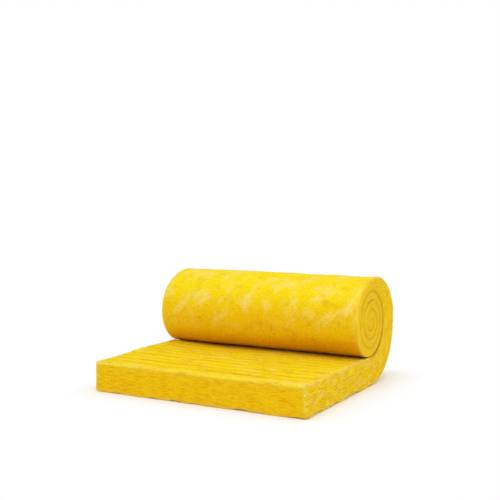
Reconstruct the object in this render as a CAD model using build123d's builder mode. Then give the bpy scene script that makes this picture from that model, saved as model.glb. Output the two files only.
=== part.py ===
# Insulation roll: one mat of glass wool, partly run out.
#
# The mat is a single piece of stock. Its cut end lies flat on the floor at its full thickness. The
# rest is still wound up: at the back the mat leaves the floor, turns up and over, comes down the
# front and runs in between the flat run and the roll, where it is squeezed to thin turns.
#
# X runs across the mat, along the roll. Y runs from the cut end to the back of the roll. Z is up.
# The origin is on the floor, in the middle of the part's bounding box. All sizes are millimetres
# and degrees.
#
# A winding angle says how far round the mat has gone. It is 0 straight below the roll's middle,
# where the mat leaves the floor, 90 at the back, 180 on top, 270 at the front, and 360 where the
# mat passes over its own flat run for the first time.
from math import atan, cos, degrees, radians, sin, sqrt
import os

from build123d import *

# The mat where it lies free
mat_width = 1200.0
mat_thickness = 157.0
flat_length = 790.0
cut_end_round = 14.0
floor_edge_round = 9.0
side_edge_round = 6.0

# The mat where it is wound
back_straight = 27.0
roll_radius = 184.0
turn_thickness = 47.0
core_radius = 26.0
recovery_start = 90.0
recovery_end = 247.0
recovery_fade = 4.0

# The open seam between the roll and the turn that comes off it
nip_gap = 2.0
loose_gap = 7.2
loose_until = 478.0

# Cross creases that the winding leaves in the upper face of the flat run
crease_pitch = 69.0
crease_depth = 4.5
crease_round = 14.0
first_crease = 72.0

# The groove that carries the seam on to the core in both ends of the roll
groove_depth = 4.0
groove_lap = 3.0
groove_clearance = 1.0

# How far one pair of arcs turns round the outline, and one arc along the groove
outline_pair = 36.0
groove_arc = 30.0

roll_height = mat_thickness + nip_gap + roll_radius
depth = flat_length + roll_height
cut_end_y = -depth / 2
roll_y = cut_end_y + flat_length
back_y = roll_y + roll_height
bend_radius = roll_height - back_straight


def wound_radius(angle):
    """Radius of the mat's outer face if every turn were squeezed alike."""
    return roll_radius + turn_thickness * (360 - angle) / 360


def recovery(angle):
    """Share of its free thickness that the mat has back: 1 on the floor, 0 in the roll."""
    gone = (angle - recovery_start) / (recovery_end - recovery_start)
    gone = min(max(gone, 0), 1)
    return (1 - gone) ** recovery_fade * (1 + recovery_fade * gone)


def outer_radius(angle):
    """Radius of the mat's outer face, which is its underside where it lies flat."""
    wound = wound_radius(angle)
    return wound + (roll_height - wound) * recovery(angle)


def seam_gap(angle):
    """Open width of the seam around the outer face at a winding angle.

    It opens as fast as the roll winds in, so that the flat run's top goes on level under the nip,
    reaches its open width halfway, and closes without an angle.
    """
    along = (angle - 360) / (loose_until - 360)
    along = min(max(along, 0), 1)
    level = turn_thickness * (loose_until - 360) / 360
    bulge = 16 * (loose_gap - nip_gap) - 2 * level
    return nip_gap + along * (1 - along) ** 2 * (level + bulge * along)


def wrap_radius(angle):
    """Radius of the inner face of the turn that lies around a winding angle."""
    return outer_radius(angle) + seam_gap(angle)


def seam_radius(angle):
    """Radius of the middle of the seam."""
    return outer_radius(angle) + seam_gap(angle) / 2


def round_roll(angle, radius):
    """Point of the side view at a winding angle and a radius about the roll's middle."""
    return (roll_y + radius * sin(radians(angle)), roll_height - radius * cos(radians(angle)))


def heading(angle, radius_at, step=0.1):
    """Direction of a winding curve at a winding angle, towards the core."""
    before = Vector(*round_roll(angle - step, radius_at(angle - step)))
    after = Vector(*round_roll(angle + step, radius_at(angle + step)))
    return (after - before).normalized()


def arc_pair(near, near_way, far, far_way):
    """Draw two arcs, tangent to each other, that leave and arrive in the ways given."""
    apart = far - near
    turned = 2 * (1 - near_way.dot(far_way))
    forward = apart.dot(near_way + far_way)
    reach = apart.dot(apart) / (forward + sqrt(forward**2 + turned * apart.dot(apart)))
    middle = (near + far + (near_way - far_way) * reach) / 2
    first = TangentArc(near, middle, tangent=near_way)
    return TangentArc(middle, far, tangent=first % 1)


def winding(start, end, radius_at, near_way, last=None):
    """Draw a winding curve as pairs of short arcs. The last one may end at a point and way given."""
    count = max(1, round((end - start) / outline_pair))
    near = Vector(*round_roll(start, radius_at(start)))
    for step in range(1, count + 1):
        angle = start + (end - start) * step / count
        far, far_way = Vector(*round_roll(angle, radius_at(angle))), heading(angle, radius_at)
        if step == count and last:
            far, far_way = last
        pair = arc_pair(near, near_way, far, far_way)
        near, near_way = far, pair % 1
    return pair


# Half a crease pitch is a wide round crest and a tight round valley that meet at one slope
crease_slope = 2 * degrees(atan(2 * crease_depth / crease_pitch))
valley_run = crease_round * sin(radians(crease_slope))
valley_rise = crease_round * (1 - cos(radians(crease_slope)))
valley_z = mat_thickness - crease_depth

# Creases are counted from the cut end, as far as the roll leaves the flat run open to view
open_length = flat_length - roll_radius
crease_count = 1 + int((open_length - first_crease) / crease_pitch)
creases = [cut_end_y + first_crease + crease_pitch * number for number in range(crease_count)]

core_angle = 360 + 360 * (roll_radius - core_radius) / turn_thickness

with BuildPart() as glass_wool_mat:
    # Side view: along the floor, round the roll, back out of the open seam and along the top
    with BuildSketch(Plane.YZ) as side_view:
        with BuildLine():
            Line((cut_end_y, 0), (back_y - bend_radius, 0))
            CenterArc((back_y - bend_radius, bend_radius), bend_radius, -90, 90)
            Line((back_y, bend_radius), (back_y, roll_height))
            over = winding(recovery_start, loose_until, outer_radius, Vector(0, 1))
            inward = over % 1
            wrap_end = over @ 1 + Vector(inward.Y, -inward.X) * nip_gap
            TangentArc(over @ 1, wrap_end, tangent=inward)
            winding(360, loose_until, wrap_radius, Vector(1, 0), last=(wrap_end, inward))
            top = Line((roll_y, mat_thickness), (creases[-1] + crease_pitch / 2, mat_thickness))
            for crease_y in reversed(creases):
                fall_end = (crease_y + valley_run, valley_z + valley_rise)
                fall = TangentArc(top @ 1, fall_end, tangent=(-1, 0))
                rise_start = (crease_y - valley_run, valley_z + valley_rise)
                valley = TangentArc(fall @ 1, rise_start, tangent=fall % 1)
                next_crest = (crease_y - crease_pitch / 2, mat_thickness)
                top = TangentArc(valley @ 1, next_crest, tangent=valley % 1)
            Polyline(top @ 1, (cut_end_y, mat_thickness), (cut_end_y, 0))
        make_face()
        cut_end = side_view.vertices().group_by(Axis.X)[0].sort_by(Axis.Y)
        fillet(cut_end[-1], cut_end_round)
        cut_end = side_view.vertices().group_by(Axis.X)[0].sort_by(Axis.Y)
        fillet(cut_end[0], floor_edge_round)
    extrude(amount=mat_width / 2, both=True)
    fillet(glass_wool_mat.faces().filter_by(Axis.X).edges(), side_edge_round)

    # The groove starts in the slit, at its end, and turns on to the core
    with BuildPart(mode=Mode.PRIVATE) as seam_groove:
        with BuildLine(Plane.YZ) as seam:
            angle = loose_until - groove_lap
            end = round_roll(angle, seam_radius(angle))
            course = tuple(heading(angle, seam_radius))[:2]
            while angle < core_angle:
                arc = JernArc(end, course, seam_radius(angle + groove_arc / 2), groove_arc)
                end, course = arc @ 1, arc % 1
                angle += groove_arc
        path = seam.wires()[0]
        with BuildSketch(Plane(path @ 0, x_dir=(1, 0, 0), z_dir=path % 0)):
            mouth = groove_depth + groove_clearance
            with BuildLine():
                flank = (groove_clearance, mouth)
                Polyline((groove_clearance, -mouth), (-groove_depth, 0), flank, close=True)
            make_face()
        sweep(path=path)
    end_groove = seam_groove.part.moved(Location((mat_width / 2, 0, 0)))
    add(end_groove, mode=Mode.SUBTRACT)
    mirror(end_groove, about=Plane.YZ, mode=Mode.SUBTRACT)

glass_wool_mat.part.label = "glass_wool_mat"
os.makedirs("parts", exist_ok=True)
export_step(glass_wool_mat.part, "parts/glass_wool_mat.step")
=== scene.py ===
# Insulation roll: one mat of glass wool, partly run out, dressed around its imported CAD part.
#
# The mat is one closed mesh that stands for the CAD solid. It is laid out along the strip: from
# the cut end along the floor, up the back, over the top and round into the roll. Loose fibres lie
# on it as pieces of their own. X runs across the mat, Y from the cut end to the back, Z is up.
# Lengths are metres. A winding angle is 0 straight below the roll's middle, 90 at the back,
# 180 on top, 270 in front, and 360 where the mat first passes over its own flat run.
import math

import bmesh
import bpy
import numpy as np
from bpy.props import FloatProperty, FloatVectorProperty, IntProperty, PointerProperty
from mathutils import Matrix, Vector, noise
from mathutils.bvhtree import BVHTree


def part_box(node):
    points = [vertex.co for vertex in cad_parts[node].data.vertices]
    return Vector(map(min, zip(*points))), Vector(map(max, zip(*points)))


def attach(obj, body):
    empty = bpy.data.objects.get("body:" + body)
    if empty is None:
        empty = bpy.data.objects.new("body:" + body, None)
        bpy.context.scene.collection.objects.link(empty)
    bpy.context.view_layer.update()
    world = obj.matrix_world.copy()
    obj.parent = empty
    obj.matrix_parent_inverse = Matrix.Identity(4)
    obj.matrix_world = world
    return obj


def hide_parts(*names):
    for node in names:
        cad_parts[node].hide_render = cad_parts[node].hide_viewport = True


bl_info = {
    "name": "Insulation roll",
    "version": (1, 0, 0),
    "blender": (4, 5, 0),
    "location": "3D View > Sidebar > Insulation",
    "description": "Builds a partly unrolled glass wool mat, its loose fibres and a plain studio",
    "category": "Object",
}

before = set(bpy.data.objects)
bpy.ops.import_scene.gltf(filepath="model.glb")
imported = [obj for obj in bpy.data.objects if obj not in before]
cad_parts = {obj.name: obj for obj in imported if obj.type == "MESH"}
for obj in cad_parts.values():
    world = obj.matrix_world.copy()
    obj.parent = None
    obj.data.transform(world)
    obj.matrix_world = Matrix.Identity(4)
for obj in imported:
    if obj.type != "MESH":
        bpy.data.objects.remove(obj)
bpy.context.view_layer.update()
mat_low, mat_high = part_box("glass_wool_mat")


def linear(hex_colour):
    """Turn an sRGB hex colour into the linear values that a shader takes."""
    channels = [int(hex_colour[i : i + 2], 16) / 255 for i in (1, 3, 5)]
    return tuple(c / 12.92 if c <= 0.04045 else ((c + 0.055) / 1.055) ** 2.4 for c in channels)


def size_setting(name, description, default):
    """A length in metres that a user may change."""
    return FloatProperty(
        name=name, description=description, default=default, unit="LENGTH", precision=4
    )


def angle_setting(name, description, degrees):
    """An angle that a user may change."""
    return FloatProperty(
        name=name, description=description, default=math.radians(degrees), unit="ROTATION"
    )


def colour_setting(name, description, hex_colour):
    """A colour that a user may change."""
    return FloatVectorProperty(
        name=name, description=description, default=linear(hex_colour), subtype="COLOR", size=3
    )


def place_setting(name, description, default):
    """A place in metres that a user may change."""
    return FloatVectorProperty(
        name=name, description=description, default=default, subtype="TRANSLATION", size=3
    )


class MatShape(bpy.types.PropertyGroup):
    """Sizes of the mat, which are the CAD part's own."""

    thickness: size_setting("Thickness", "Of the mat where it lies free on the floor", 0.157)
    flat_length: size_setting("Flat length", "From the cut end to below the roll's middle", 0.790)
    top_round: size_setting("Top edge", "Rounding of the cut end's upper edge", 0.014)
    floor_round: size_setting("Floor edge", "Rounding of the cut end's lower edge", 0.009)
    side_round: size_setting("Side edges", "Rounding of the mat's two long edges", 0.008)
    back_straight: size_setting("Upright run", "Straight run at the back of the roll", 0.027)
    roll_radius: size_setting("Roll radius", "From the roll's middle to the nip", 0.184)
    turn_thickness: size_setting("Turn thickness", "Of one squeezed turn in the roll", 0.047)
    core_radius: size_setting("Core radius", "Where the innermost turn ends", 0.026)
    nip_gap: size_setting("Nip gap", "Between the roll and the flat run at the nip", 0.002)
    loose_gap: size_setting("Seam gap", "Widest opening of the seam behind the roll", 0.0072)
    loose_until: angle_setting("Seam closes", "Winding angle where the open seam ends", 478)
    recovery_start: angle_setting("Squeeze starts", "Where the mat starts to get thinner", 90)
    recovery_end: angle_setting("Squeeze ends", "Where the mat is as thin as in the roll", 247)


class MatRelief(bpy.types.PropertyGroup):
    """How uneven the faces and the edges of the mat are."""

    crease_depth: size_setting("Creases", "Depth of the cross creases in the upper face", 0.0048)
    crease_width: size_setting("Crease width", "Half the width of one crease", 0.0085)
    crease_wander: size_setting("Crease wander", "How far a crease strays along the mat", 0.007)
    swell: size_setting("Swells", "Height of the broad swells of the outer face", 0.0030)
    lump: size_setting("Lumps", "Height of the small lumps of every face", 0.0011)
    layer: size_setting("Layers", "Height of the layers that stand out of a cut face", 0.0013)
    seam_depth: size_setting("Seams", "Depth of the seams in the ends of the roll", 0.0028)
    seam_width: size_setting("Seam width", "Half the width of those seams", 0.0105)
    turn_bulge: size_setting("Turn bulge", "How far a turn's end stands out in its middle", 0.0030)
    foot_gap: size_setting("Foot gap", "How far the lower edges stand off the floor", 0.0075)
    left_rise: size_setting("Left rise", "How much thicker the flat run is at its left", 0.012)
    ragged: size_setting("Ragged edges", "How far the edges stray to any side", 0.0022)


class WoolColours(bpy.types.PropertyGroup):
    """Colours of the resin bound glass wool."""

    # Lemon and cream on the roll's top, golden and amber down its front, and amber and brown in the
    # nip, the seams and the creases are painted light and shade; elsewhere these colours are the
    # wool's own uneven tone
    golden: colour_setting("Golden", "Most of the wool", "#F2C408")
    lemon: colour_setting("Lemon", "Fresh wool on the upper side", "#F9DE1A")
    cream: colour_setting("Cream", "Thin fluffy places with little resin", "#F8E180")
    amber: colour_setting("Amber", "Places with more resin, and creases", "#E39E04")
    brown: colour_setting("Brown", "Deep in the nip and the seams", "#9C5E06")


class LooseFibres(bpy.types.PropertyGroup):
    """The fibres that stand or lie loose on the mat."""

    count: IntProperty(name="Count", description="Number of fibres in each piece", default=5200)
    length: size_setting("Length", "Of a long loose fibre", 0.046)
    thickness: size_setting("Thickness", "Of a fibre, drawn coarser than real glass", 0.0005)
    lift: size_setting("Lift", "How far a fibre's bow stands off the face", 0.0022)
    seed: IntProperty(name="Seed", description="Start of the random draws", default=7)


class Studio(bpy.types.PropertyGroup):
    """Camera, lamp and floor."""

    lens: FloatProperty(name="Lens", description="Focal length in millimetres", default=61.4)
    camera: place_setting("Camera", "Where the camera stands", (2.209, -3.9755, 0.989))
    azimuth: angle_setting("Azimuth", "Camera's turn round the object", 29.11)
    pitch: angle_setting("Pitch", "How far the camera looks down", 3.43)
    lamp: place_setting("Lamp", "Where the soft lamp hangs", (0.65, -1.1, 3.1))
    lamp_size: size_setting("Lamp size", "Diameter of the soft lamp", 2.4)
    power: FloatProperty(name="Lamp power", description="Of the lamp, in watts", default=17.0)
    sky: FloatProperty(name="Sky", description="Strength of the even light", default=0.94)
    floor: colour_setting("Floor", "Pale floor under the object", "#F9FAFC")


class InsulationRoll(bpy.types.PropertyGroup):
    """Everything that a user may change."""

    shape: PointerProperty(type=MatShape)
    relief: PointerProperty(type=MatRelief)
    colours: PointerProperty(type=WoolColours)
    fibres: PointerProperty(type=LooseFibres)
    studio: PointerProperty(type=Studio)


# How finely the mat is drawn: degrees, metres, numbers of steps, and shares of a size
TURN_STEP = 3
FULL_TURN = 360 // TURN_STEP
FLAT_STEP = 0.0066
ACROSS_STEPS = 132
INNER_LAYERS = 16
EDGE_STEPS = np.array([0, 0.13, 0.5, 1])
CORE_RINGS = (0.93, 0.86, 0.78, 0.70, 0.61, 0.52, 0.43, 0.34, 0.25, 0.17, 0.09)
FIBRE_STEPS = 5
FIBRE_SIDES = 3

# What stands for the winding angle along the flat run, far from every angle where turns touch
FLAT_RUN = -360

# Winding angles between which something comes in, or goes where they run backwards
ROLL_STARTS = (-20, 120)
BULGE_STARTS = (60, 200)
# Painted shade on the roll's outer face comes in round the back, down the front, and deepest near
# the nip
BACK_PAINTED_SHADE = (175, 80)
FRONT_PAINTED_SHADE = (185, 280)
NIP_PAINTED_SHADE = (280, 330)
OUT_OF_NIP = (355, 322)
INTO_SLIT = (356, 384)

# Degrees before the slit's tip in which the relief goes, and past it in which the seam deepens
RELIEF_GOES = 40
SEAM_DEEPENS = 60

# Metres in front of the roll's middle between which the flat run comes out from under the roll
CLEAR_OF_NIP = (0.015, 0.10)

# How far the marks of an edge, of the outer face and the painted shade of a seam reach, in metres
EDGE_REACH = 0.012
OUTER_REACH = 0.03
SEAM_REACH = 0.005

# Metres left of the middle, and from the cut end, between which the flat run gets thicker
RISE_ACROSS = (0.3, 0.6)
RISE_ALONG = (0.1, 0.45)

# Share of the relief that is left in a seam, and how much painted shade a shut seam gets, where an
# open one is 1
LEFT_IN_SEAM = 0.12
CLOSED_SEAM = 0.3

# Shares of painted shade between which the marks of each name come in
PAINTED_SHADE_MARKS = {
    "some_painted_shade": (0.1, 0.55),
    "much_painted_shade": (0.5, 1.0),
    "most_painted_shade": (1.0, 1.25),
    "little_painted_shade": (0.64, 0.34),
}

# Height above the floor from which fibres start, and how deep they sink, in thicknesses of one
FIBRES_FROM = 0.004
FIBRE_SINK = 0.8

# Cross creases that the winding left in the upper face: metres from the cut end, relative depth
CREASES = (
    (0.070, 0.9),
    (0.152, 1.0),
    (0.215, 0.5),
    (0.288, 1.0),
    (0.362, 0.6),
    (0.428, 1.0),
    (0.485, 0.5),
    (0.562, 0.9),
    (0.630, 0.4),
    (0.700, 0.4),
)

# What a face of the mat is, in the order of the mat's material slots
OUTER, UPPER, CUT = range(3)


def wavy(points, size, shift=0.0):
    """Smooth noise of about -1 to 1 at every point, with lumps of the given size."""
    scaled = np.asarray(points, float) / size + shift
    flat = [noise.noise(Vector(point)) for point in scaled.reshape(-1, 3)]
    return np.array(flat).reshape(scaled.shape[:-1])


def on_line(values):
    """The values as points on a line, for noise that varies along it."""
    values = np.asarray(values, float)
    return np.stack([values, np.zeros_like(values), np.zeros_like(values)], -1)


def fade(value, start, end):
    """Smooth step from 0 at start to 1 at end."""
    share = np.clip((value - start) / (end - start), 0, 1)
    return share * share * (3 - 2 * share)


def rounding(distance, radius):
    """How far a round edge falls back at a distance from the edge."""
    left = np.clip(radius - distance, 0, radius)
    return radius - np.sqrt(radius**2 - left**2)


class Winding:
    """The mat's two faces in the side view, at any winding angle in degrees."""

    def __init__(self, shape):
        self.shape = shape
        self.height = shape.thickness + shape.nip_gap + shape.roll_radius
        self.middle_y = mat_low.y + shape.flat_length
        self.squeeze = math.degrees(shape.recovery_start), math.degrees(shape.recovery_end)
        self.slit_end = TURN_STEP * int(math.degrees(shape.loose_until) / TURN_STEP)
        turns = 1 + (shape.roll_radius - shape.core_radius) / shape.turn_thickness
        self.core = TURN_STEP * round(360 * turns / TURN_STEP)

    def lying(self, angle):
        """Radius from the roll's middle to the underside: floor, bend and upright back."""
        turned = np.radians(np.clip(angle, 0, 90))
        straight = self.shape.back_straight
        side, down = np.sin(turned), np.cos(turned)
        along = straight * (side + down)
        bend = along + np.sqrt(along**2 + (self.height - straight) ** 2 - 2 * straight**2)
        leading = np.maximum(side, down)
        on_straight = np.minimum(side, down) <= leading * straight / self.height
        return np.where(on_straight, self.height / leading, bend)

    def outer(self, angle):
        """Radius of the mat's outer face."""
        angle = np.asarray(angle, float)
        start, end = self.squeeze
        gone = np.clip((angle - start) / (end - start), 0, 1)
        recovered = (1 - gone) ** 4 * (1 + 4 * gone)
        wound = self.shape.roll_radius + self.shape.turn_thickness * (360 - angle) / 360
        round_roll = wound + (self.height - wound) * recovered
        return np.where(angle < 90, self.lying(angle), round_roll)

    def gap(self, angle):
        """Open width of the seam round the outer face, which is shut past its end."""
        loose_until = math.degrees(self.shape.loose_until)
        along = np.clip((angle - 360) / (loose_until - 360), 0, 1)
        level = self.shape.turn_thickness * (loose_until - 360) / 360
        bulge = 16 * (self.shape.loose_gap - self.shape.nip_gap) - 2 * level
        opened = self.shape.nip_gap + along * (1 - along) ** 2 * (level + bulge * along)
        return np.where(angle <= self.slit_end, opened, 0)

    def inner(self, angle):
        """Radius of the mat's inner face, one turn further in than its outer face."""
        angle = np.asarray(angle, float) + 360
        return self.outer(angle) + self.gap(angle)

    def point(self, angle, radius):
        """Points of the side view, as rows of y and z."""
        turned = np.radians(angle)
        y = self.middle_y + radius * np.sin(turned)
        return np.stack([y, self.height - radius * np.cos(turned)], -1)

    def polar(self, y, z):
        """Radius and turned degrees of places in the side view."""
        y, z = y - self.middle_y, z - self.height
        return np.hypot(y, z), np.degrees(np.arctan2(y, -z))


class Strip:
    """The mat's section as columns of points across its thickness, from the cut end to the core.

    A column runs from the outer face to the inner one. A point that two turns share is in both
    columns, so `number` gives it the same number there.
    """

    def __init__(self, shape):
        self.shape = shape
        self.winding = winding = Winding(shape)
        offsets = self.flat_offsets()
        angles = np.arange(0, winding.core - 360 + 1, TURN_STEP)
        self.flat_columns = len(offsets)
        self.angle = np.concatenate([np.full(len(offsets), FLAT_RUN), angles])
        y = mat_low.y + offsets
        floor = np.stack([y, rounding(offsets, shape.floor_round)], -1)
        top = np.stack([y, shape.thickness - rounding(offsets, shape.top_round)], -1)
        outer = np.concatenate([floor, winding.point(angles, winding.outer(angles))])
        inner = np.concatenate([top, winding.point(angles, winding.inner(angles))])
        thickness = np.linalg.norm(inner - outer, axis=1)[:, None]
        self.share = self.shares(thickness)
        self.points = outer[:, None] + (inner - outer)[:, None] * self.share[..., None]
        steps = np.linalg.norm(np.diff((outer + inner) / 2, axis=0), axis=1)
        self.run = np.concatenate([[0], np.cumsum(steps)])
        self.edge_distance = self.distance_to_edge(thickness)
        self.number = self.numbers()

    def flat_offsets(self):
        """How far the flat run's columns stand from the cut end."""
        near = np.append(EDGE_STEPS * self.shape.side_round, self.shape.top_round)
        steps = round((self.shape.flat_length - self.shape.top_round) / FLAT_STEP)
        even = np.linspace(self.shape.top_round, self.shape.flat_length, steps + 1)
        return np.concatenate([near, even[1:-1]])

    def shares(self, thickness):
        """How far up its column each point is: close together at both faces, then even."""
        near = EDGE_STEPS * self.shape.side_round / thickness
        even = np.linspace(0, 1, INNER_LAYERS + 1)[1:-1]
        even = near[:, -1:] + (1 - 2 * near[:, -1:]) * even
        return np.concatenate([near, even, 1 - near[:, ::-1]], axis=1)

    def distance_to_edge(self, thickness):
        """How far each point is from the nearest edge of the section, or seam."""
        near = np.minimum(self.share, 1 - self.share) * thickness
        flat = slice(0, self.flat_columns)
        y, z = self.points[flat, :, 0] - mat_low.y, self.points[flat, :, 1]
        distance = np.minimum(near[flat], y)
        for radius, height in (
            (self.shape.top_round, self.shape.thickness - z),
            (self.shape.floor_round, z),
        ):
            corner = (y < radius) & (height < radius)
            distance = np.where(corner, radius - np.hypot(radius - y, radius - height), distance)
        near[flat] = np.maximum(distance, 0)
        return near

    def facing(self):
        """Winding angle of the outer face that each point is nearest to, its own or the next."""
        return self.angle[:, None] + 360 * (self.share > 0.5)

    def shut(self):
        """How shut the seam is that each point is nearest to: 0 in the slit, 1 well past it."""
        slit_end = self.winding.slit_end
        return fade(self.facing(), slit_end, slit_end + SEAM_DEEPENS)

    def numbers(self):
        """Number of every point. The seams count once."""
        columns, layers = self.share.shape
        number = np.zeros((columns, layers), int)
        shared_from = self.flat_columns + self.winding.slit_end // TURN_STEP + 1
        self.count = 0
        for column in range(columns):
            for layer in range(layers):
                if layer == 0 and column >= shared_from:
                    number[column, 0] = number[column - FULL_TURN, -1]
                else:
                    number[column, layer] = self.count
                    self.count += 1
        return number

    def outline(self):
        """The numbers round the section's open edge and what each point is on."""
        number = self.number
        outer_end = self.flat_columns + self.winding.slit_end // TURN_STEP
        inner_end = outer_end - FULL_TURN
        outer, inner = number[: outer_end + 1, 0], number[inner_end::-1, -1]
        cut = number[0, -2:0:-1]
        kinds = [OUTER] * len(outer) + [UPPER] * len(inner) + [CUT] * len(cut)
        return np.concatenate([outer, inner, cut]), np.array(kinds)

    def core_loop(self):
        """The numbers round the core, which no column crosses."""
        around = self.number[-1 - FULL_TURN :, -1]
        return np.concatenate([around, self.number[-1, -2:0:-1]])

    def core_rings(self, loop):
        """Points that close the core: rings that shrink to a point beside the roll's middle."""
        last = math.radians(self.winding.core - 360)
        away = self.shape.core_radius / 2
        heart = np.array([self.winding.middle_y, self.winding.height])
        heart = heart + away * np.array([math.cos(last), math.sin(last)])
        rings = [heart + (loop - heart) * share for share in CORE_RINGS]
        return np.concatenate(rings + [heart[None]])

    def faces(self):
        """Faces of one end of the mat: all columns and the slit's tip."""
        number = self.number
        faces = []
        for column in range(len(number) - 1):
            for layer in range(number.shape[1] - 1):
                near, far = number[column, layer : layer + 2], number[column + 1, layer : layer + 2]
                faces.append((near[0], far[0], far[1], near[1]))
        tip = self.flat_columns + self.winding.slit_end // TURN_STEP
        inner_tip = tip - FULL_TURN
        faces.append((number[inner_tip, -1], number[inner_tip + 1, -1], number[tip, 0]))
        return faces


def ring_faces(near, far):
    """Faces between two closed rows of points."""
    count = len(near)
    return [
        (near[here], near[(here + 1) % count], far[(here + 1) % count], far[here])
        for here in range(count)
    ]


class MatPoints:
    """Every point of the mat: its place, where it is along the strip, and what it is on.

    The points are those of the left end, of the rows across the mat, and of the right end.
    """

    def __init__(self, strip, relief):
        self.strip = strip
        self.half = (mat_high.x - mat_low.x) / 2
        self.outline, self.outline_kinds = strip.outline()
        self.loop = strip.core_loop()
        section = np.zeros((strip.count, 2))
        section[strip.number] = strip.points
        rings = strip.core_rings(section[self.loop])
        run, depth, from_seam = self.in_core(rings, section[self.loop[: FULL_TURN + 1]])
        section = np.concatenate([section, rings])
        self.core_start, self.end_count = strip.count, len(section)
        self.angle = self.everywhere(strip.angle[:, None], np.full(len(rings), strip.winding.core))
        self.run = self.everywhere(strip.run[:, None], run)
        self.depth = self.everywhere(strip.share * strip.shape.thickness, depth)
        self.edge_distance = self.everywhere(strip.edge_distance, from_seam)
        flat = self.half - strip.shape.side_round
        across = np.linspace(-flat, flat, ACROSS_STEPS + 1)[1:-1]
        rows = np.repeat(across, len(self.outline))
        inset = self.end_inset(relief)
        x = np.concatenate([inset - self.half, rows, self.half - inset])
        swept = np.tile(section[self.outline], (len(across), 1))
        self.place = np.column_stack([x, np.concatenate([section, swept, section])])
        between_ends = slice(self.end_count, -self.end_count)
        self.edge_distance[between_ends] = self.from_side(rows)
        end_kinds = np.full(self.end_count, CUT)
        end_kinds[self.outline] = self.outline_kinds
        self.kind = np.concatenate([end_kinds, np.tile(self.outline_kinds, len(across)), end_kinds])
        self.on_end = np.ones(len(x))
        self.on_end[between_ends] = 0

    def everywhere(self, in_columns, in_core):
        """A value of the section's points, for both ends and for the rows between them."""
        at_end = np.zeros(self.strip.count)
        at_end[self.strip.number] = in_columns
        at_end = np.concatenate([at_end, in_core])
        return np.concatenate([at_end, np.tile(at_end[self.outline], ACROSS_STEPS - 1), at_end])

    def in_core(self, rings, seam):
        """Where the core's points are along the strip and in it, and how far from the seam."""
        winding = self.strip.winding
        start = winding.core - 360
        radius, turned = winding.polar(*rings.T)
        turned = start + (turned - start) % 360
        turn = winding.shape.turn_thickness
        depth = winding.shape.thickness * (winding.outer(turned) - radius) / turn
        middle = np.maximum(winding.outer(turned) - turn / 2, turn / 8)
        run = self.strip.run[-1] + np.radians(turned - start) * middle
        return run, depth, np.linalg.norm(rings[:, None] - seam[None], axis=2).min(axis=1)

    def from_side(self, x):
        """How far places are from the mat's long edges."""
        return self.half - np.abs(x)

    def end_inset(self, relief):
        """How far each point of an end lies behind the end's plane."""
        strip = self.strip
        distance = self.edge_distance[: self.end_count]
        shut, uneven = np.ones(self.end_count), np.ones(self.end_count)
        shut[strip.number] = strip.shut()
        uneven[strip.number] = 1 + 0.5 * wavy(on_line(strip.facing()), 40)
        bulge = np.zeros(self.end_count)
        wound = fade(strip.angle, *BULGE_STARTS) * (1 + 0.9 * wavy(on_line(strip.run), 0.16))
        bulge[strip.number] = wound[:, None] * (1 - (2 * strip.share - 1) ** 2)
        bulge[self.core_start :] = fade(distance[self.core_start :], 0, 0.02)
        edge = rounding(distance, strip.shape.side_round)
        seam = np.clip(1 - distance / relief.seam_width, 0, 1) ** 2 * relief.seam_depth
        return edge * (1 - shut) + seam * uneven * shut - relief.turn_bulge * bulge

    def faces(self):
        """All faces of the closed mesh with their material slots."""
        end = self.strip.faces()
        core = [self.loop] + [
            np.arange(len(self.loop)) + self.core_start + ring * len(self.loop)
            for ring in range(len(CORE_RINGS))
        ]
        for near, far in zip(core, core[1:]):
            end += ring_faces(near, far)
        heart = self.end_count - 1
        end += [(core[-1][here], core[-1][here - 1], heart) for here in range(len(self.loop))]
        far_end = len(self.place) - self.end_count
        faces = end + [tuple(point + far_end for point in face) for face in end]
        slots = [CUT] * len(faces)
        around = np.arange(len(self.outline)) + self.end_count
        rows = [around + row * len(self.outline) for row in range(ACROSS_STEPS - 1)]
        rows = [self.outline] + rows + [self.outline + far_end]
        for near, far in zip(rows, rows[1:]):
            faces += ring_faces(near, far)
        kinds = np.maximum(self.outline_kinds, np.roll(self.outline_kinds, -1))
        slots += list(np.tile(kinds, ACROSS_STEPS))
        return faces, [int(slot) for slot in slots]


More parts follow.
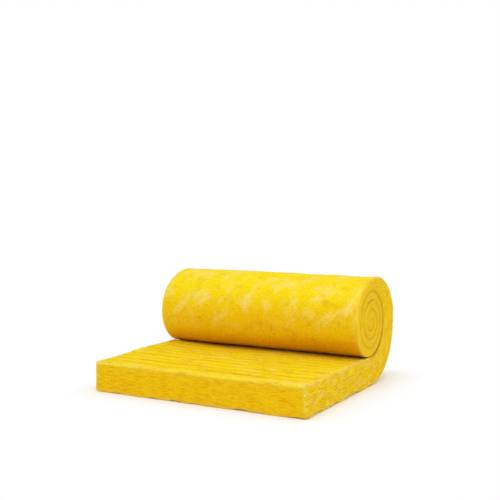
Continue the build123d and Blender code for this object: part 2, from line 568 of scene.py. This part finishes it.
class MatSurface:
    """How the real faces of the mat stray from the plain section."""

    def __init__(self, points, relief):
        self.points, self.relief = points, relief
        self.winding = points.strip.winding
        self.shape = points.strip.shape
        self.from_end = points.place[:, 1] - mat_low.y
        self.clear = fade(self.winding.middle_y - points.place[:, 1], *CLEAR_OF_NIP)
        below, above = self.shape.thickness - points.depth, points.depth
        self.near_upper = self.by_kind(1, 0, np.exp(-np.maximum(below, 0) / EDGE_REACH))
        self.near_outer = self.by_kind(0, 1, np.exp(-np.maximum(above, 0) / OUTER_REACH))
        self.open = self.by_kind(self.clear, fade(points.angle, *OUT_OF_NIP), 1)
        self.crease = self.creases()
        self.edge = self.edges()
        self.crevice_shade = self.crevice_shades()
        # Painted shade on the outer face: none on the roll's top, most on its front above the nip
        self.resin = self.painted_shade_share()

    def by_kind(self, upper, outer, cut):
        """A value for the points of each kind of face."""
        kind = self.points.kind
        return np.where(kind == UPPER, upper, np.where(kind == OUTER, outer, cut))

    def creases(self):
        """How much of a crease there is at every point, from 0 to 1."""
        points, relief = self.points, self.relief
        total = np.zeros(len(points.place))
        shown = (self.near_upper > 0.02) & (points.run < self.shape.flat_length)
        x, from_end = points.place[shown, 0], self.from_end[shown]
        for row, (place, strength) in enumerate(CREASES):
            along = on_line(x) + (0, 0, 7.3 * row)
            wander = wavy(along, 0.34) + 0.35 * wavy(along, 0.09)
            depth = strength * np.clip(0.75 + 0.9 * wavy(along, 0.16, shift=31.7), 0.1, 1.2)
            apart = from_end - place - relief.crease_wander * wander
            total[shown] += depth * np.exp(-((apart / relief.crease_width) ** 2))
        return np.clip(total, 0, 1.2) * self.near_upper

    def edges(self):
        """1 along the edges of the mat, falling off within a few centimetres."""
        points = self.points
        from_end, z = np.maximum(self.from_end, 0), points.place[:, 2]
        lip = np.hypot(from_end, self.shape.thickness - z)
        nearest = np.minimum(np.minimum(lip, np.hypot(from_end, z)), points.edge_distance)
        return np.exp(-np.maximum(nearest, 0) / EDGE_REACH)

    def crevice_shades(self):
        """Painted shade: 1 deep between two faces that nearly touch, and less in the shut seams of
        the ends.
        """
        points, strip = self.points, self.points.strip
        strength = fade(strip.facing(), *INTO_SLIT) * (1 - (1 - CLOSED_SEAM) * strip.shut())
        in_seam = CLOSED_SEAM * np.exp(-points.edge_distance[: points.end_count] / SEAM_REACH)
        in_seam[strip.number] = strength * np.exp(-strip.edge_distance / SEAM_REACH)
        crevice_shade = 1 - self.open
        for end in (slice(0, points.end_count), slice(-points.end_count, None)):
            crevice_shade[end] = np.maximum(crevice_shade[end], in_seam)
        return crevice_shade

    def painted_shade_share(self):
        """How much painted shade the outer face gets: 0 on top of the roll, 1 or more on its front
        above the nip and most to the right, rising to 0.45 round the back and underneath, and 0.5
        on other faces.
        """
        angle, x = self.points.angle, self.points.place[:, 0]
        front = 0.5 * fade(angle, *FRONT_PAINTED_SHADE)
        front += (0.5 + 0.6 * fade(x, 0, 0.5)) * fade(angle, *NIP_PAINTED_SHADE)
        back = 0.45 * fade(angle, *BACK_PAINTED_SHADE)
        return self.by_kind(0.5, np.where(angle > 180, front, back), 0.5)

    def layers(self):
        """Ridges of the felted layers on the cut faces, from -1 to 1."""
        points = self.points
        cut = points.kind == CUT
        x, y, z = points.place[cut].T
        spread = np.column_stack([(x + points.run[cut]) / 0.10, points.depth[cut] / 0.011, x])
        ridges = wavy(spread, 1.0) + 0.6 * wavy(spread, 0.5, shift=3.3)
        from_middle, _ = self.winding.polar(y, z)
        total = np.zeros(len(cut))
        total[cut] = ridges * fade(points.edge_distance[cut], 0.001, 0.008)
        total[cut] *= fade(from_middle, 0.006, 0.024)
        return total

    def kept(self):
        """Share of the relief that is kept: little inside a seam, and none at the slit's tip."""
        facing = self.points.angle + self.by_kind(360, 0, 0)
        before_tip = fade(facing, self.winding.slit_end, self.winding.slit_end - RELIEF_GOES)
        before_tip = self.by_kind(before_tip, before_tip, 1)
        return before_tip * (LEFT_IN_SEAM + (1 - LEFT_IN_SEAM) * self.open)

    def height(self):
        """How far every point moves out along its normal."""
        relief, place = self.relief, self.points.place
        broad = wavy(place, 0.16, shift=2.7) + 0.45 * wavy(place, 0.07, shift=8.2)
        height = relief.lump * (wavy(place, 0.030) + 0.5 * wavy(place, 0.013, shift=5.1))
        height += relief.swell * self.near_outer * broad
        height += 0.7 * relief.swell * self.near_upper * wavy(place, 0.21, shift=4.4)
        height += relief.layer * self.layers()
        height -= relief.crease_depth * self.crease
        return height * self.kept()

    def stray(self):
        """How far the edges stray to any side."""
        place, ragged = self.points.place, self.edge > 0.05
        stray = np.zeros(place.shape)
        ways = [wavy(place[ragged], 0.022, shift) for shift in (1.7, 12.9, 24.6)]
        stray[ragged] = np.column_stack(ways)
        return self.relief.ragged * self.edge[:, None] * stray

    def rise(self):
        """How much the flat run is raised at its left, in proportion to the height."""
        place, flat_run = self.points.place, self.points.angle == FLAT_RUN
        rise = fade(-place[:, 0], *RISE_ACROSS) * fade(self.from_end, *RISE_ALONG)
        rise *= self.clear * flat_run
        return self.relief.left_rise * rise * place[:, 2] / self.shape.thickness

    def foot_gap(self):
        """How far the mat's lower edges stand off the floor, in short stretches."""
        points, place = self.points, self.points.place
        nearest = np.minimum(self.from_end, points.from_side(place[:, 0]))
        nearest = np.hypot(nearest, place[:, 2])
        low = nearest < 0.04
        gap = np.zeros(len(place))
        loose = np.clip(0.35 + 1.8 * wavy(place[low] * (1, 1, 0), 0.06, shift=9.6), 0, 1)
        gap[low] = self.relief.foot_gap * loose * np.exp(-((nearest[low] / 0.014) ** 2))
        return gap

    def moved(self, normals):
        """Places of all points, moved from the plain section."""
        moved = self.points.place + normals * self.height()[:, None] + self.stray()
        moved[:, 2] = np.maximum(moved[:, 2] + self.rise(), 0) + self.foot_gap()
        return moved

    def shares(self):
        """What the materials read at every point, under the names that they use."""
        x, run, depth = self.points.place[:, 0], self.points.run, self.points.depth
        in_roll = fade(self.points.angle, *ROLL_STARTS)
        # Shares of painted shade; where there is little, on the roll's top, the face is painted
        # paler
        resin = {name: fade(self.resin, *between) for name, between in PAINTED_SHADE_MARKS.items()}
        return {
            "strip": np.column_stack([x, run, depth]),
            "layers": np.column_stack([x + run, depth, x]),
            # The crease share also lays painted shade along the creases
            "crease": self.crease,
            "fluff": self.edge * (0.3 + 0.7 * self.near_upper * (1 - in_roll)),
            "crevice_shade": self.crevice_shade,
            "end": self.points.on_end,
            "side": self.points.on_end * (1 - 0.7 * in_roll),
            **resin,
        }


def solid_mesh(name, vertices, faces, slots, materials, smooth=True):
    """Make an object from the points and faces of closed solids, with outward normals."""
    mesh = bpy.data.meshes.new(name)
    mesh.from_pydata([tuple(v) for v in vertices], [], [tuple(map(int, f)) for f in faces])
    for material in materials:
        mesh.materials.append(material)
    mesh.polygons.foreach_set("material_index", slots)
    work = bmesh.new()
    work.from_mesh(mesh)
    bmesh.ops.recalc_face_normals(work, faces=work.faces)
    work.to_mesh(mesh)
    work.free()
    if smooth:
        mesh.shade_smooth()
    made = bpy.data.objects.new(name, mesh)
    bpy.context.scene.collection.objects.link(made)
    return made


def read_rows(items, key):
    """A vector of every vertex or face of a mesh, as rows."""
    values = np.zeros(len(items) * 3)
    items.foreach_get(key, values)
    return values.reshape(-1, 3)


def store(mesh, name, values):
    """Keep a value or a vector for every vertex, for the materials to read."""
    values = np.asarray(values, np.float32)
    kind, key = ("FLOAT", "value") if values.ndim == 1 else ("FLOAT_VECTOR", "vector")
    attribute = mesh.attributes.new(name, kind, "POINT")
    attribute.data.foreach_set(key, values.ravel())


def add_node(tree, kind, sockets=None, **settings):
    """Add a node with its settings, and a value or a link for each socket named."""
    made = tree.nodes.new(kind)
    for name, value in settings.items():
        setattr(made, name, value)
    for name, value in (sockets or {}).items():
        if isinstance(value, bpy.types.NodeSocket):
            tree.links.new(value, made.inputs[name])
        else:
            made.inputs[name].default_value = value
    return made


def new_material(name):
    """An empty material and its node tree."""
    material = bpy.data.materials.new(name)
    material.use_nodes = True
    material.node_tree.nodes.clear()
    return material, material.node_tree


def opaque(colour):
    """A colour with full alpha, as a socket takes it."""
    return (*colour, 1.0)


def wool_marks(tree, lengths, low, high, shift=0.0, turn=0.0, rough=0.65, along="strip"):
    """Uneven marks in the wool, from 0 below one level of noise to 1 above another.

    The lengths are millimetres across the mat, along it and through it, laid out flat, and along
    the layers, through them and across where the marks follow a cut. Other marks have other shifts.
    Real fibres are 4 to 10 thousandths of a millimetre thick, too fine to show, so the finest marks
    are bundles and clumps of fibres, 6 to 12 mm in size.
    """
    place = add_node(tree, "ShaderNodeAttribute", attribute_name=along).outputs["Vector"]
    turned = add_node(
        tree,
        "ShaderNodeVectorRotate",
        {"Vector": place, "Angle": turn},
        rotation_type="Z_AXIS",
    )
    per_metre = [1000 / length for length in lengths]
    scaled = add_node(
        tree, "ShaderNodeMapping", {"Vector": turned.outputs[0], "Scale": per_metre}
    )
    uneven = add_node(
        tree,
        "ShaderNodeTexNoise",
        {
            "Vector": scaled.outputs[0],
            "W": shift,
            "Scale": 1.0,
            "Detail": 5.0,
            "Roughness": rough,
        },
        noise_dimensions="4D",
    )
    spread = add_node(
        tree,
        "ShaderNodeMapRange",
        {"Value": uneven.outputs[0], "From Min": low, "From Max": high},
        interpolation_type="SMOOTHSTEP",
    )
    return spread.outputs[0]


def laid_over(tree, colour, rows):
    """Lay colours over one another. A row is a colour, its share, and what it follows.

    It follows marks in the wool, or a share that the mat keeps for its points under a name.
    """
    for over, share, *followed in rows:
        for marks in followed:
            if isinstance(marks, str):
                marks = add_node(tree, "ShaderNodeAttribute", attribute_name=marks).outputs["Fac"]
            made = add_node(tree, "ShaderNodeMath", {0: marks, 1: share}, operation="MULTIPLY")
            share = made.outputs[0]
        sockets = {0: share, 6: colour, 7: opaque(over)}
        colour = add_node(tree, "ShaderNodeMix", sockets, data_type="RGBA").outputs[2]
    return colour


def wool_finish(tree, colour, colours):
    """Shade a face of glass wool: matt, with matted fibres, paler edges and painted shade in amber
    and brown where faces nearly touch.
    """
    specks = wool_marks(tree, (9, 9, 9), 0.50, 0.64, 15, rough=0.70)
    lint = wool_marks(tree, (8, 8, 8), 0.52, 0.66, 23, rough=0.70)
    rows = (
        (colours.amber, 0.35, specks),
        (colours.brown, 0.10, specks),
        (colours.lemon, 0.50, lint),
        (colours.cream, 0.35, "fluff"),
        # Painted shade, amber then brown, where faces nearly touch: the nip and the seams of the
        # roll's ends
        (colours.amber, 1.0, "crevice_shade"),
        (colours.brown, 0.8, "crevice_shade"),
    )
    # Single fibres would be too fine to show, so the bumps are bundles of up to 9 mm
    near = add_node(tree, "ShaderNodeTexCoord").outputs["Object"]
    fine = add_node(
        tree,
        "ShaderNodeTexNoise",
        {"Vector": near, "Scale": 1000 / 9, "Detail": 5.0, "Roughness": 0.7, "Distortion": 0.6},
    )
    bump = add_node(
        tree,
        "ShaderNodeBump",
        {"Height": fine.outputs[0], "Strength": 0.9, "Distance": 0.004},
    )
    # Rough glass with very little gloss, because the fibres scatter what they reflect
    shader = add_node(
        tree,
        "ShaderNodeBsdfPrincipled",
        {
            "Base Color": laid_over(tree, colour, rows),
            "Roughness": 0.95,
            "IOR": 1.52,
            "Specular IOR Level": 0.03,
            "Sheen Weight": 0.02,
            "Sheen Roughness": 0.6,
            "Sheen Tint": opaque(colours.lemon),
            "Normal": bump.outputs[0],
        },
    )
    add_node(tree, "ShaderNodeOutputMaterial", {"Surface": shader.outputs[0]})


def felted_wool(colours):
    """Glass wool, resin bound, its outer face pressed smooth on the belt of the curing oven.

    The face is matt and slightly felted. Resin gives the yellow, and it is uneven: pale, thin
    fluffy places lie slantwise across it, and amber ones where more resin has set. Painted light
    and shade lie over this: the roll's top is lemon and cream, and its front turns golden, amber
    and brown down to the nip.
    fluffy places lie slantwise across it, and amber ones where more resin has set.
    """
    material, tree = new_material("Glass wool, felted outer face")
    slant = math.radians(-33)
    pale = wool_marks(tree, (80, 125, 400), 0.47, 0.66, 37, slant)
    thin = wool_marks(tree, (34, 60, 200), 0.52, 0.74, 3, -slant)
    rich = wool_marks(tree, (90, 60, 300), 0.48, 0.72, 7)
    grain = wool_marks(tree, (12, 12, 12), 0.38, 0.68, 11, rough=0.75)
    burnt = wool_marks(tree, (11, 10, 10), 0.50, 0.62, 27, rough=0.70)
    rows = (
        # Painted light and shade: lemon and cream on the roll's top, golden, amber and brown down
        # its front to the nip. The rich, thin, grain and burnt marks are the wool's own tone, with
        # the cream patches and burnt specks kept to the painted light and shade
        (colours.golden, 1.0, "some_painted_shade"),
        (colours.amber, 1.0, "much_painted_shade"),
        (colours.amber, 0.45, rich),
        (colours.brown, 0.14, rich, "some_painted_shade"),
        (colours.golden, 0.40, thin, "much_painted_shade"),
        (colours.brown, 0.14, "most_painted_shade"),
        (colours.lemon, 0.30, grain),
        (colours.brown, 0.24, burnt, "some_painted_shade"),
        (colours.cream, 0.72, pale, "little_painted_shade"),
        (colours.cream, 0.32, thin, "little_painted_shade"),
    )
    wool_finish(tree, laid_over(tree, opaque(colours.lemon), rows), colours)
    return material


def creased_wool(colours):
    """Glass wool, resin bound, its upper face creased across by the winding.

    Threads of set resin run across it as thin darker lines, and painted shade lies in the creases
    as thin, broken, amber and brown lines. Between them the face is fresh, with broad pale tufts.
    """
    material, tree = new_material("Glass wool, creased upper face")
    fresh = wool_marks(tree, (150, 90, 100), 0.32, 0.52, 19, rough=0.60)
    tufts = wool_marks(tree, (85, 60, 100), 0.50, 0.68, 2)
    threads = wool_marks(tree, (110, 11, 100), 0.54, 0.64, 5, rough=0.70)
    grain = wool_marks(tree, (12, 9, 11), 0.38, 0.68, 13, rough=0.75)
    broken = wool_marks(tree, (60, 14, 50), 0.36, 0.52, 17, rough=0.70)
    rows = (
        (colours.lemon, 0.65, grain),
        (colours.lemon, 0.90, fresh),
        (colours.cream, 0.50, tufts),
        (colours.amber, 0.85, threads),
        # Painted shade in the creases, broken into dashes, amber then brown
        (colours.amber, 1.00, broken, "crease"),
        (colours.brown, 0.22, broken, "crease"),
    )
    wool_finish(tree, laid_over(tree, opaque(colours.golden), rows), colours)
    return material


def cut_wool(colours):
    """Glass wool, resin bound, cut through with a saw.

    The cut shows the fibres' layers as fine streaks that follow the mat, golden and amber, with
    cream tufts where the blade has pulled wool out. The mat's two ends are cut across the way in
    which most fibres lie. They are fresher, and mottled with cream, less so in the roll.
    """
    material, tree = new_material("Glass wool, sawn through its layers")
    streaks = wool_marks(tree, (90, 6, 50), 0.48, 0.62, 1, along="layers")
    bands = wool_marks(tree, (300, 26, 90), 0.42, 0.62, 4, rough=0.50, along="layers")
    tufts = wool_marks(tree, (48, 14, 30), 0.50, 0.70, 6, along="layers")
    grain = wool_marks(tree, (11, 11, 8), 0.38, 0.68, 9, rough=0.75)
    fresh = wool_marks(tree, (34, 40, 24), 0.40, 0.60, 21)
    mottled = wool_marks(tree, (46, 54, 34), 0.44, 0.66, 25, rough=0.62)
    rows = (
        (colours.amber, 0.20, bands),
        (colours.lemon, 0.50, grain),
        (colours.cream, 0.12, tufts),
        (colours.lemon, 0.75, fresh, "end"),
        (colours.cream, 0.54, mottled, "side"),
        (colours.amber, 0.85, streaks),
    )
    wool_finish(tree, laid_over(tree, opaque(colours.golden), rows), colours)
    return material


def loose_glass(colours):
    """Glass fibre, drawn and resin coated, lying loose. It is pale and catches a little light."""
    material, tree = new_material("Glass fibre, loose")
    shader = add_node(
        tree,
        "ShaderNodeBsdfPrincipled",
        {
            "Base Color": opaque(colours.lemon),
            "Roughness": 0.8,
            "IOR": 1.52,
            "Specular IOR Level": 0.1,
        },
    )
    add_node(tree, "ShaderNodeOutputMaterial", {"Surface": shader.outputs[0]})
    return material


class INSULATION_OT_mat(bpy.types.Operator):
    """Build the glass wool mat in place of the plain CAD solid"""

    bl_idname = "insulation.mat"
    bl_label = "Glass wool mat"

    def execute(self, context):
        settings = context.scene.insulation_roll
        points = MatPoints(Strip(settings.shape), settings.relief)
        surface = MatSurface(points, settings.relief)
        faces, slots = points.faces()
        finishes = [make(settings.colours) for make in (felted_wool, creased_wool, cut_wool)]
        mat = solid_mesh("wool_mat", points.place, faces, slots, finishes)
        moved = surface.moved(read_rows(mat.data.vertices, "normal"))
        mat.data.vertices.foreach_set("co", np.asarray(moved, np.float32).ravel())
        mat.data.update()
        for name, values in surface.shares().items():
            store(mat.data, name, values)
        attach(mat, "root")
        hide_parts("glass_wool_mat")
        return {"FINISHED"}


def fibre_starts(mesh, kinds, count, rng):
    """Middles and normals of random faces of the given kinds, chosen by area, off the floor."""
    areas, slots = np.zeros(len(mesh.polygons)), np.zeros(len(mesh.polygons), int)
    mesh.polygons.foreach_get("area", areas)
    mesh.polygons.foreach_get("material_index", slots)
    middles, normals = read_rows(mesh.polygons, "center"), read_rows(mesh.polygons, "normal")
    areas *= np.isin(slots, kinds) & (middles[:, 2] > FIBRES_FROM)
    chosen = rng.choice(len(areas), count, p=areas / areas.sum())
    return [(Vector(middles[face]), Vector(normals[face])) for face in chosen]


def fibre_way(normal, spin):
    """Direction of a fibre that lies on a face: across the mat or level, turned by the spin."""
    level = Vector((0, -normal.z, normal.y)) if abs(normal.x) > 0.7 else Vector((1, 0, 0))
    way = (level - normal * level.dot(normal)).normalized()
    return Matrix.Rotation(spin, 3, normal) @ way


def fibre_path(skin, start, normal, way, length, lift, bend, thickness):
    """Points of one loose fibre that hugs the mat, its ends sunk in the wool."""
    side = normal.cross(way)
    path = []
    for share in np.linspace(0, 1, FIBRE_STEPS + 1):
        out = way * (share - 0.5) * length + side * bend * length * math.sin(3 * share)
        near, face_normal, _, _ = skin.find_nearest(start + out)
        point = near + face_normal * (lift * math.sin(math.pi * share) - FIBRE_SINK * thickness)
        point.z = max(point.z, thickness)
        path.append(point)
    return path


def folded(path, thickness):
    """Whether a path's points, or every other one, are closer together than the fibre is thick."""
    apart = [(far - near).length for skip in (1, 2) for near, far in zip(path, path[skip:])]
    return min(apart) < thickness


def fibre_tube(path, thickness, first):
    """Corners and faces of a closed tube along a path, with corners numbered from the first."""
    corners, faces = [], []
    side = (path[1] - path[0]).orthogonal()
    for step, point in enumerate(path):
        ahead = (path[min(step + 1, FIBRE_STEPS)] - path[max(step - 1, 0)]).normalized()
        side = (side - ahead * side.dot(ahead)).normalized()
        turn = Matrix.Rotation(math.radians(360 / FIBRE_SIDES), 3, ahead)
        for _ in range(FIBRE_SIDES):
            corners.append(point + side * thickness / 2)
            side = turn @ side
    rings = [first + step * FIBRE_SIDES + np.arange(FIBRE_SIDES) for step in range(len(path))]
    for near, far in zip(rings, rings[1:]):
        faces += ring_faces(near, far)
    return corners, faces + [tuple(rings[0][::-1]), tuple(rings[-1])]


class INSULATION_OT_fibres(bpy.types.Operator):
    """Lay loose glass fibres on the faces and the cuts of the mat"""

    bl_idname = "insulation.fibres"
    bl_label = "Loose fibres"

    def execute(self, context):
        settings = context.scene.insulation_roll
        mat = bpy.data.objects.get("wool_mat")
        if mat is None:
            raise RuntimeError("Build the glass wool mat before its loose fibres")
        material = loose_glass(settings.colours)
        skin = BVHTree.FromObject(mat, context.evaluated_depsgraph_get())
        rng = np.random.default_rng(settings.fibres.seed)
        pieces = (
            ("fibres_on_faces", (OUTER, UPPER), 2 * math.pi),
            ("fibres_on_cuts", (CUT,), 0.24 * math.pi),
        )
        for name, kinds, widest_spin in pieces:
            vertices, faces = self.lay(mat.data, skin, kinds, widest_spin, settings.fibres, rng)
            slots = [0] * len(faces)
            made = solid_mesh(name, vertices, faces, slots, [material], smooth=False)
            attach(made, "root")
        return {"FINISHED"}

    def lay(self, mesh, skin, kinds, widest_spin, fibres, rng):
        """Corners and faces of all the fibres on faces of the given kinds."""
        starts = fibre_starts(mesh, kinds, fibres.count, rng)
        lengths = fibres.length * rng.uniform(0.3, 1.0, fibres.count)
        lifts = fibres.lift * rng.uniform(0.1, 1.0, fibres.count) ** 2
        bends = rng.normal(0, 0.16, fibres.count)
        spins = rng.uniform(0, widest_spin, fibres.count)
        vertices, faces = [], []
        for (start, normal), length, lift, bend, spin in zip(starts, lengths, lifts, bends, spins):
            way = fibre_way(normal, spin)
            path = fibre_path(skin, start, normal, way, length, lift, bend, fibres.thickness)
            if not folded(path, fibres.thickness):
                corners, sides = fibre_tube(path, fibres.thickness, len(vertices))
                vertices += corners
                faces += sides
        return vertices, faces


def seen_directly(tree):
    """1 for the camera's own rays and for those that gloss or glass passes on."""
    rays = add_node(tree, "ShaderNodeLightPath").outputs
    seen = rays["Is Camera Ray"]
    for other in ("Is Glossy Ray", "Is Transmission Ray"):
        made = add_node(tree, "ShaderNodeMath", {0: seen, 1: rays[other]}, operation="MAXIMUM")
        seen = made.outputs[0]
    return seen


def studio_floor(colour):
    """Painted board, matt, so it keeps the object's shadow. It shows as plain white farther off."""
    material, tree = new_material("Painted board, matt")
    place = add_node(tree, "ShaderNodeTexCoord").outputs["Object"]
    for operation, other in (
        ("ABSOLUTE", (0, 0, 0)),
        ("SUBTRACT", (mat_high.x, mat_high.y, 0)),
        ("MAXIMUM", (0, 0, 0)),
    ):
        moved = add_node(tree, "ShaderNodeVectorMath", {0: place, 1: other}, operation=operation)
        place = moved.outputs[0]
    apart = add_node(tree, "ShaderNodeVectorMath", {0: place}, operation="LENGTH")
    # It is all white from 240 mm past the mat's box
    off = add_node(
        tree,
        "ShaderNodeMapRange",
        {"Value": apart.outputs["Value"], "From Min": -0.04, "From Max": 0.24},
        interpolation_type="SMOOTHSTEP",
    )
    sockets = {0: seen_directly(tree), 1: off.outputs[0]}
    white = add_node(tree, "ShaderNodeMath", sockets, operation="MULTIPLY")
    paint = add_node(tree, "ShaderNodeBsdfDiffuse", {"Color": opaque(colour)})
    plain = add_node(tree, "ShaderNodeEmission", {"Strength": 1.0})
    sockets = {0: white.outputs[0], 1: paint.outputs[0], 2: plain.outputs[0]}
    mixed = add_node(tree, "ShaderNodeMixShader", sockets)
    add_node(tree, "ShaderNodeOutputMaterial", {"Surface": mixed.outputs[0]})
    return material


def studio_sky(strength):
    """Even light from all round, which shows as white."""
    world = bpy.data.worlds.new("Even studio light")
    world.use_nodes = True
    tree = world.node_tree
    tree.nodes.clear()
    white = opaque((1, 1, 1))
    light = add_node(tree, "ShaderNodeBackground", {"Color": white, "Strength": strength})
    plain = add_node(tree, "ShaderNodeBackground", {"Color": white, "Strength": 1.0})
    sockets = {0: seen_directly(tree), 1: light.outputs[0], 2: plain.outputs[0]}
    mixed = add_node(tree, "ShaderNodeMixShader", sockets)
    add_node(tree, "ShaderNodeOutputWorld", {"Surface": mixed.outputs[0]})
    return world


def placed(name, data, place, look):
    """Put a lamp or a camera in its place, looking along a direction."""
    made = bpy.data.objects.new(name, data)
    made.location = place
    made.rotation_mode = "QUATERNION"
    made.rotation_quaternion = look.to_track_quat("-Z", "Y")
    bpy.context.scene.collection.objects.link(made)
    return made


class INSULATION_OT_studio(bpy.types.Operator):
    """Set up the floor, the light and the camera"""

    bl_idname = "insulation.studio"
    bl_label = "Studio"

    def execute(self, context):
        scene = context.scene
        studio = scene.insulation_roll.studio
        scene.view_settings.view_transform = "Standard"
        scene.world = studio_sky(studio.sky)
        mesh = bpy.data.meshes.new("studio_floor")
        reach = 30.0
        corners = [(-reach, -reach, 0), (reach, -reach, 0), (reach, reach, 0), (-reach, reach, 0)]
        mesh.from_pydata(corners, [], [(0, 1, 2, 3)])
        mesh.materials.append(studio_floor(studio.floor))
        floor = bpy.data.objects.new("studio_floor", mesh)
        scene.collection.objects.link(floor)
        lamp = bpy.data.lights.new("soft_lamp", "AREA")
        lamp.shape = "DISK"
        lamp.size = studio.lamp_size
        lamp.energy = studio.power
        middle = Vector((0, 0, mat_high.z / 2))
        placed("soft_lamp", lamp, studio.lamp, middle - Vector(studio.lamp))
        camera = bpy.data.cameras.new("camera")
        camera.sensor_width = 36.0
        camera.lens = studio.lens
        turn, down = studio.azimuth, studio.pitch
        level = Vector((-math.sin(turn), math.cos(turn), 0)) * math.cos(down)
        look = level - Vector((0, 0, math.sin(down)))
        scene.camera = placed("camera", camera, studio.camera, look)
        return {"FINISHED"}


class INSULATION_PT_panel(bpy.types.Panel):
    """Lists the steps and what they take"""

    bl_idname = "INSULATION_PT_panel"
    bl_label = "Insulation roll"
    bl_space_type = "VIEW_3D"
    bl_region_type = "UI"
    bl_category = "Insulation"

    def draw(self, context):
        settings = context.scene.insulation_roll
        for step, groups in (
            (INSULATION_OT_mat, (settings.shape, settings.relief, settings.colours)),
            (INSULATION_OT_fibres, (settings.fibres,)),
            (INSULATION_OT_studio, (settings.studio,)),
        ):
            box = self.layout.box()
            box.operator(step.bl_idname)
            for group in groups:
                for key in group.__annotations__:
                    box.prop(group, key)


CLASSES = (
    MatShape,
    MatRelief,
    WoolColours,
    LooseFibres,
    Studio,
    InsulationRoll,
    INSULATION_OT_mat,
    INSULATION_OT_fibres,
    INSULATION_OT_studio,
    INSULATION_PT_panel,
)


def register():
    for cls in CLASSES:
        bpy.utils.register_class(cls)
    bpy.types.Scene.insulation_roll = PointerProperty(type=InsulationRoll)


def unregister():
    del bpy.types.Scene.insulation_roll
    for cls in reversed(CLASSES):
        bpy.utils.unregister_class(cls)


def main():
    """Build everything in order."""
    register()
    bpy.ops.insulation.mat()
    bpy.ops.insulation.fibres()
    bpy.ops.insulation.studio()
    bpy.context.view_layer.update()


if __name__ == "__main__":
    main()
